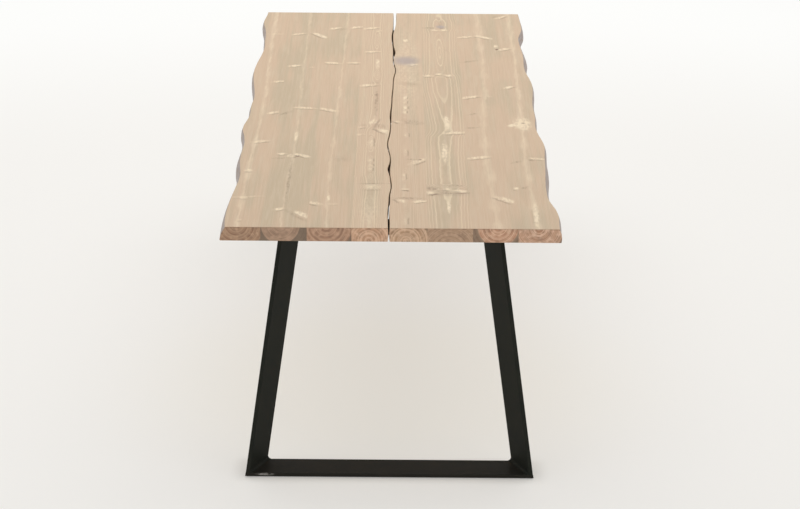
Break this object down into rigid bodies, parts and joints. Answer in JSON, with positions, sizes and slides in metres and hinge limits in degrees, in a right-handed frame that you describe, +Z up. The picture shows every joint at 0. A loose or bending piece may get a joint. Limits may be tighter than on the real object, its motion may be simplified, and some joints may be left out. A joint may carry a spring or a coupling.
{
  "type": "plank dining table",
  "caption": "Live-edge plank dining table: two glued plank halves with a wavy slit between them, on welded flat-bar frames that lean in towards the top.",
  "frame": {"origin": "on the floor, under the middle of the table", "axes": "+Z up, Y along the table's length with its near end at -Y, X across the table"},
  "size_m": [0.8988, 2.4, 0.75],
  "materials": {
    "pine": "whitewashed and matt",
    "black_steel": "satin powder coat",
    "zinc_steel": "zinc plated",
    "pad_rubber": "matt"
  },
  "bodies": {
    "root": {"left_edge_board": "pine", "left_board_2": "pine", "left_board_3": "pine", "left_slit_board": "pine", "right_slit_board": "pine", "right_board_2": "pine", "right_board_3": "pine", "right_edge_board": "pine", "near_foot_bar": "black_steel", "near_left_leg": "black_steel", "near_right_leg": "black_steel", "near_top_plate": "black_steel", "near_frame_welds": "black_steel", "near_floor_pads": "pad_rubber", "far_foot_bar": "black_steel", "far_left_leg": "black_steel", "far_right_leg": "black_steel", "far_top_plate": "black_steel", "far_frame_welds": "black_steel", "far_floor_pads": "pad_rubber", "centre_batten": "black_steel", "near_frame_screws": "zinc_steel", "far_frame_screws": "zinc_steel", "centre_batten_screws": "zinc_steel"}
  },
  "joints": []
}
